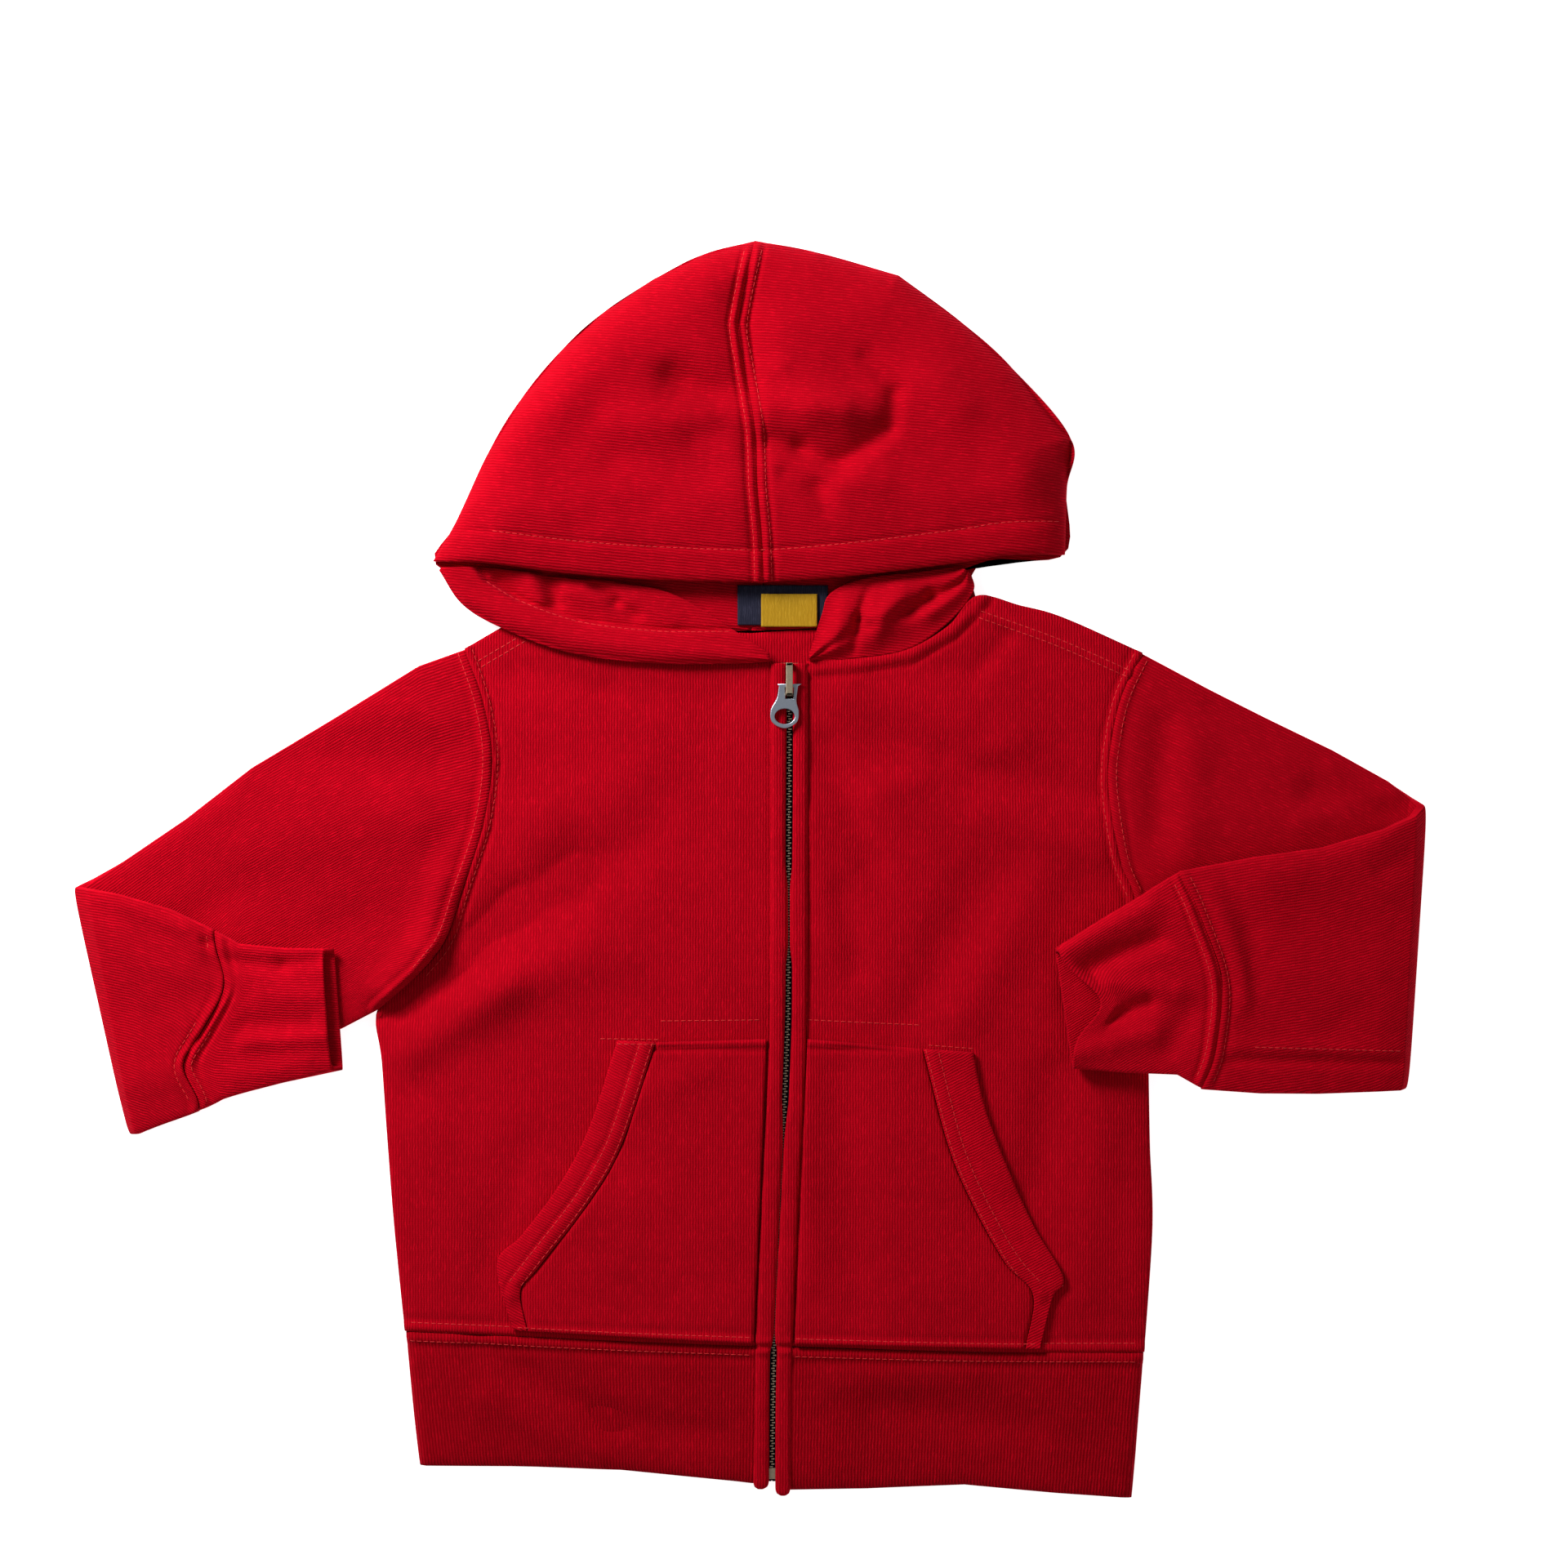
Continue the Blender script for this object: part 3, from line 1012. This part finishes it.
for side, stations, outward, width, area in (
    ("left", CUFF_LEFT, -1, 0.155, 0.0087),
    ("right", CUFF_RIGHT, 1, 0.19, 0.0102),
):
    cuff = tube(f"cuff_{side}_rib", stations, outward, None, CUFF_GRID, cuff_relief, cuff_relief)
    finish_cloth(cuff, binding_rib, f"cuff_{side}")

# Hood
# Two halves of fleece joined by a seam over the crown, lying hollow over their own under side.
# The crown has slumped into dents near the seam and the brim is turned in and stitched.
HOOD_HEIGHT = 17.0
HOOD_BRIM_HEIGHT = 10.5
HOOD_EDGE_RADIUS = 26.0
HOOD_SEAM = [(6.1, 132.8), (5.4, 153.7), (3.4, 176.5), (2.3, 203.1), (-2.7, 233.5), (-5.3, 252.5),
             (2.3, 291.4)]
HOOD_SIDE_LEFT = [(-147.1, 143), (-136.4, 161.3), (-121.2, 193.6), (-106, 218.3), (-87, 241.1),
                  (-68, 258.2), (-45.2, 273.4)]
HOOD_SIDE_RIGHT = [(145.9, 146.1), (146.7, 176.5), (148.6, 199.3), (122, 231.6), (99.2, 252.5),
                   (68.8, 275.3)]
HOOD_CROWN_LEFT = [(-45.2, 273.4), (-22.4, 284.8), (2.3, 291.4)]
HOOD_CROWN_RIGHT = [(2.3, 291.4), (30.8, 286), (68.8, 275.3)]
BRIM_LEFT = [(-147.1, 143), (-121.2, 141.6), (-83.2, 137), (-45.2, 134.2), (6.1, 132.8)]
BRIM_RIGHT = [(6.1, 132.8), (49.8, 136.2), (99.2, 142.3), (118.2, 145.3), (145.9, 146.1)]
HOOD_OUTLINE = joined(HOOD_SIDE_LEFT, HOOD_CROWN_LEFT, HOOD_CROWN_RIGHT, HOOD_SIDE_RIGHT[::-1])
HOOD_GRAIN = 84
HOOD_GRID = (140, 130)
HALF_SEAM = 0.2
BRIM_HEM = 15.0
HOOD_RISE_Y = (128, 176)
CROWN_WELTS = ((1.2, 2.3, 1.3), (-0.8, 0, 0.8), (-0.9, 5, 1.1))
BRIM_WELTS = ((0.5, 10, 6), (-0.8, BRIM_HEM, 1.2), (-1.4, 0, 1.6))
HOOD_FOLDS = [
    (-30, 224, -16, 219, 12, -4.8), (4, 196, 38, 190, 9, -3.5), (30, 176, 56, 200, 7, -1.6),
    (56, 206, 44, 232, 9, -1.0), (10, 216, 42, 212, 9, 3.5), (-60, 190, -22, 184, 11, -2.5),
    (88, 222, 128, 186, 11, 2.5), (-2, 270, 4, 150, 5, -1.6),
]
HOOD_CREASES = [
    (-3, 260, 0, 224, 13, -4.5), (-36, 228, -20, 221, 7, -2.4), (-24, 200, -6, 203, 8, -2.0),
    (-60, 206, -22, 209, 10, 2.6), (-100, 206, -70, 240, 16, 2.2), (30, 212, 52, 211, 9, 4.0),
    (54, 236, 67, 222, 5, -2.0), (67, 219, 65, 206, 4.5, -2.6), (63, 202, 42, 188, 4.5, -2.6),
    (10, 199, 23, 195, 5, -3.0), (23, 195, 35, 189, 4.5, -2.6), (17, 183, 32, 176, 5, -2.0),
    (32, 176, 35, 167, 5, -1.6), (36, 182, 60, 178, 7, 1.4), (76, 224, 94, 212, 10, 2.0),
    (74, 196, 104, 186, 11, -1.0), (100, 160, 138, 168, 8, -1.0), (-112, 168, -66, 160, 11, 1.0),
    (-96, 196, -66, 206, 12, -1.0), (-80, 160, -40, 170, 8, -0.9), (-126, 160, -110, 176, 8, -0.8),
    (16, 250, 50, 256, 11, 1.0), (4, 226, 14, 232, 5, 1.0), (110, 206, 136, 196, 8, -0.8),
]


def hood_fill(x, y):
    away = rounded_rise(gap_to(HOOD_OUTLINE, x, y), HOOD_EDGE_RADIUS)
    fill = HOOD_BRIM_HEIGHT + (HOOD_HEIGHT - HOOD_BRIM_HEIGHT) * smooth_step(*HOOD_RISE_Y, y)
    return fill + folds_at(HOOD_FOLDS, x, y) * away - CLOTH


def hood_top(x, y):
    rise = rounded_rise(gap_to(HOOD_OUTLINE, x, y) + EDGE_START, HOOD_EDGE_RADIUS)
    relief = welts(gap_to(HOOD_SEAM, x, y), CROWN_WELTS)
    relief += welts(gap_to(BRIM_LEFT + BRIM_RIGHT[1:], x, y), BRIM_WELTS)
    relief += folds_at(HOOD_CREASES, x, y)
    return FRONT_BASE + CLOTH + hood_fill(x, y) * rise + relief * rise


def hood_under(x, y):
    rise = rounded_rise(gap_to(HOOD_OUTLINE, x, y) + EDGE_START - CLOTH, HOOD_EDGE_RADIUS)
    return FRONT_BASE + (hood_fill(x, y) + folds_at(HOOD_CREASES, x, y)) * rise


def hood_half(name, plan, node):
    piece = panel(name, plan, hood_top(*plan[:2]), hood_under(*plan[:2]), HOOD_GRAIN)
    finish_cloth(piece, fleece, node)


seam_left = shifted(HOOD_SEAM, HALF_SEAM)
seam_right = shifted(HOOD_SEAM, -HALF_SEAM)
hood_half("hood_left_half", plan_patch(
    BRIM_LEFT[:-1] + [seam_left[0]],
    HOOD_CROWN_LEFT[:-1] + [seam_left[-1]],
    HOOD_SIDE_LEFT,
    seam_left,
    *HOOD_GRID,
), "hood_left")
hood_half("hood_right_half", plan_patch(
    [seam_right[0]] + BRIM_RIGHT[1:],
    [seam_right[-1]] + HOOD_CROWN_RIGHT[1:],
    seam_right,
    HOOD_SIDE_RIGHT,
    *HOOD_GRID,
), "hood_right")

# Hood under side
# The same two halves carry on round the edge and lie flat on the table, down to the neck seam.
# They show only inside the neck opening, under the label.
NECK_DROP = 1.2
UNDER_GRID = (40, 40)
neck_seam = [(x, y - NECK_DROP) for x, y in NECK_BACK]
neck_middle = neck_seam[2]
under_left = [neck_seam[0], (-125, 131)] + HOOD_SIDE_LEFT
under_right = [neck_seam[4], (103, 137), (112, 144), (146, 146.4)] + HOOD_SIDE_RIGHT[1:]
for side, *edges in (
    ("left", neck_seam[:3], HOOD_CROWN_LEFT, under_left, [neck_middle] + seam_left),
    ("right", neck_seam[2:], HOOD_CROWN_RIGHT, [neck_middle] + seam_right, under_right),
):
    under = panel(f"hood_{side}_under_half", plan_patch(*edges, *UNDER_GRID), CLOTH, 0, HOOD_GRAIN)
    finish_cloth(under, fleece, f"hood_under_{side}")

# Lower edge of the hood's opening
# On the left the edge is turned flat over the neck, with its hem strip sewn down.
# On the right it has rolled up into a soft tube with a crease along it.
LIP_OUTER = [(-144, 138.5), (-133, 122.5), (-113.6, 111.2), (-83.2, 100.4), (-45.2, 95.6),
             (-7.2, 95.4), (9, 96.4)]
LIP_INNER = [(-143, 140), (-121, 139.8), (-83.2, 135.2), (-60, 133), (-32, 126), (9, 100)]
ROLL_OUTER = [(27.5, 96.4), (49.8, 98.2), (72.6, 102.0), (91.2, 114), (103.2, 128.6), (102.5, 137)]
ROLL_INNER = [(27, 99), (33, 118), (37, 128), (52, 134.8), (78, 138), (97, 140.5)]
LIP_STRIP_EDGE = (13, 17)
LIP_GRID = (110, 40)
LIP_WELTS = ((1.2, 6, 5), (-1.8, 15.5, 1.2), (-1.2, 0, 1.5))
LIP_CREASES = [
    (-116, 134, -106, 122, 4, -3.4), (-104, 140, -98, 126, 4.5, 2.4), (-94, 138, -90, 124, 3.5, -3.4),
    (-84, 128, -60, 124, 5, 2.2), (-72, 132, -62, 124, 2.6, -3.4), (-62, 124, -54, 118, 3, -2.4),
    (-52, 124, -36, 116, 5, 1.6), (-128, 134, -118, 128, 5, 1.4),
]
ROLL_CREASES = [
    (48, 101, 50, 116, 2.4, -3.0), (50, 116, 55, 133, 2.4, -3.0), (39, 102, 44, 130, 4, 1.8),
    (57, 104, 61, 116, 5, 2.6), (61, 116, 70, 130, 5, 2.8), (74, 120, 84, 127, 4, -3.6),
    (84, 127, 97, 132, 4, -2.6), (84, 118, 98, 128, 4, 1.8),
]


def lip_top(x, y, v):
    height = 8.9 + 1.2 * np.sin(np.pi * np.minimum(2 * v, 1)) - v
    hem = gap_to(LIP_OUTER, x, y)
    inner = smooth_step(*LIP_STRIP_EDGE, hem)
    return height + 1.5 + welts(hem, LIP_WELTS) + inner * (0.9 * folds_at(LIP_CREASES, x, y) - 3.6)


def roll_top(x, y, v):
    height = 6.6 + 4.2 * np.sin(np.pi * v) ** 2 - 1.8 * ridge(v, 0.42, 0.09)
    return height + folds_at(ROLL_CREASES, x, y) * np.sin(np.pi * v)


for name, outer, inner, top, node, flat, area in (
    ("hood_lip_turned", LIP_OUTER, LIP_INNER, lip_top, "hood_lip_left", (0.16, 0.04), 0.0046),
    ("hood_lip_rolled", ROLL_OUTER, ROLL_INNER, roll_top, "hood_roll_right", (0.09, 0.036), 0.0025),
):
    plan = plan_patch(outer, inner, [outer[0], inner[0]], [outer[-1], inner[-1]], *LIP_GRID)
    height = top(plan[0], plan[1], plan[3])
    edge = panel(name, plan, height, height - CLOTH, HOOD_GRAIN)
    finish_cloth(edge, fleece, node)

# Neck label
# A plain woven label in gold on a navy tape, sewn at the back of the neck.
# Its face is left blank.
GOLD = (0.42, 0.22, 0.010, 1)
GOLD_LIGHT = (0.62, 0.36, 0.03, 1)
LABEL_THICKNESS = 1
LABEL_SAG = 0.3
LABEL_GRID = (40, 24)
gold_cloth = knit_material("gold_weave", GOLD, GOLD_LIGHT, wale=0.5, bump=0.4, fuzz=0.2, sheen=0)
for name, node, left, right, low, high, base, cloth, slot, area in (
    ("label_tape_strip", "label_tape", -6, 36, 113.5, 132, 2.3, navy_cloth, "navy_tape", 0.00077),
    ("label_blank_face", "label_blank", 5, 31, 112.7, 127.9, 3.6, gold_cloth, "gold_label", 0.000395),
):
    plan = between([(left, low), (left, high)], [(right, low), (right, high)], *LABEL_GRID)
    sag = LABEL_SAG * np.sin(plan[0] / 6) * plan[3]
    label = panel(name, plan, base + LABEL_THICKNESS + sag, base + sag)
    finish_cloth(label, cloth, node)

# Stitching
# Rows of single orange-red polyester thread beside the seams that show, half sunk in the cloth.
# Each stitch is a short capsule, dropped on whatever lies on top at its place.
STITCH_LENGTH = 2.3
STITCH_PITCH = 3.1
STITCH_RADIUS = 0.22
# Shares of a stitch's length, and of its radius there
STITCH_PROFILE = ((0, 0.35), (0.12, 0.85), (0.5, 1.0), (0.88, 0.85), (1, 0.35))
STITCH_SIDES = 6
STEEPEST_STITCH = 1.6
THREAD = (0.66, 0.010, 0.013, 1)
HEM_ROW = 4.2
ARMHOLE_ROW = 3.4
SHOULDER_ROW = 1.6
HOOD_ROW = 3.9
CUFF_ROW = 4.0


def beside(points, offset):
    """A line moved to its left by an offset, or to its right when it is negative."""
    line = curve_at(points, np.linspace(0, 1, 60))
    ahead = np.gradient(line, axis=0)
    ahead /= np.linalg.norm(ahead, axis=1, keepdims=True)
    return [(x - offset * dy, y + offset * dx) for (x, y), (dx, dy) in zip(line, ahead)]


def double_row(points, offset):
    return [beside(points, offset), beside(points, -offset)]


def cloth_tree():
    """The surface of all the cloth, for the stitches to drop on."""
    places, faces = [], []
    for piece in bpy.context.scene.objects:
        if piece.type != "MESH" or "grain" not in piece.data.uv_layers:
            continue
        first = len(places)
        places += [vertex.co[:] for vertex in piece.data.vertices]
        faces += [tuple(first + index for index in face.vertices) for face in piece.data.polygons]
    return BVHTree.FromPolygons(places, faces)


def stitch_rows(name, rows, tree, material):
    places, faces = [], []
    for row in rows:
        line = np.array(row, float)
        travelled = np.concatenate([[0], np.cumsum(np.linalg.norm(np.diff(line, axis=0), axis=1))])
        for start in np.arange(0.5, travelled[-1] - STITCH_LENGTH, STITCH_PITCH):
            ends = []
            for reach in (start, start + STITCH_LENGTH):
                x, y = (np.interp(reach, travelled, line[:, k]) for k in (0, 1))
                hit = tree.ray_cast(Vector((x * MM, y * MM, 0.1)), Vector((0, 0, -1)))
                ends.append(hit[0])
            if None in ends or abs(ends[0].z - ends[1].z) > STEEPEST_STITCH * MM:
                continue
            ahead = (ends[1] - ends[0]).normalized()
            side = Vector((-ahead.y, ahead.x, 0)).normalized()
            up = ahead.cross(side)
            first = len(places)
            for share, width in STITCH_PROFILE:
                centre = ends[0].lerp(ends[1], share)
                for corner in range(STITCH_SIDES):
                    turn = math.tau * corner / STITCH_SIDES
                    spoke = side * math.cos(turn) + up * math.sin(turn)
                    places.append(centre + spoke * (STITCH_RADIUS * width * MM))
            rings = [list(range(first + STITCH_SIDES * ring, first + STITCH_SIDES * (ring + 1)))
                     for ring in range(len(STITCH_PROFILE))]
            for low, high in zip(rings, rings[1:]):
                faces += zip(low, low[1:] + low[:1], high[1:] + high[:1], high)
            faces += [rings[0][::-1], rings[-1]]
    mesh = bpy.data.meshes.new(name)
    mesh.from_pydata([place[:] for place in places], [], faces)
    mesh.shade_smooth()
    mesh.materials.append(material)
    piece = placed(name, mesh)
    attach(piece, "garment")


thread = plain_material("orange_red_thread", {"Base Color": THREAD, "Roughness": 0.7})
dressed = cloth_tree()
hem_left = [(-158, -214.1)] + HEM_SEAM[1:3] + [(1.5, -220.8)]
hem_right = [(20.5, -221.4)] + HEM_SEAM[4:5] + [(181, -223.8)]
body_rows = double_row(hem_left, HEM_ROW) + double_row(hem_right, HEM_ROW)
body_rows += double_row(ARMHOLE_LEFT[1:], ARMHOLE_ROW) + double_row(ARMHOLE_RIGHT[2:], ARMHOLE_ROW)
body_rows += double_row(SHOULDER_SEAM, SHOULDER_ROW) + double_row([(-126, 95), (-104, 108)], SHOULDER_ROW)
stitch_rows("body_stitches", body_rows, dressed, thread)
pocket_rows = [[(-42, -70.2), (6, -69.6)], [(26, -69.6), (80, -72.2)]]
pocket_rows += [[(-70, -78.4), (-42, -78.8)], [(-62, -80.6), (-42, -80.8)], [(82, -81.4), (104, -83)]]
for mouth, side in ((POCKET_LEFT_EDGE, -1), (POCKET_RIGHT_EDGE, 1)):
    pocket_rows += [beside(mouth[:-1], offset * side) for offset in (1.2, 6.6)]
stitch_rows("pocket_stitches", pocket_rows, dressed, thread)
hood_rows = double_row(HOOD_SEAM[:-1] + [(1.5, 287)], HOOD_ROW)
hood_rows += [beside(BRIM_LEFT[1:] + BRIM_RIGHT[1:], BRIM_HEM), beside(LIP_OUTER[1:-1], BRIM_HEM)]
stitch_rows("hood_stitches", hood_rows, dressed, thread)
sleeve_rows = []
for upper, lower in (
    ((-254.5, -72), (-259, -108)),
    ((-248, -30), (-249, -36)),
    ((200.5, -4.5), (212.5, -98)),
):
    seam = [(x + wrist_sway(x, y, 0), y) for x, y in curve_at([upper, lower], np.linspace(0, 1, 40))]
    sleeve_rows += double_row(seam, CUFF_ROW)
sleeve_rows += [[(232, -81.5), (300, -83.5)]]
stitch_rows("sleeve_stitches", sleeve_rows, dressed, thread)
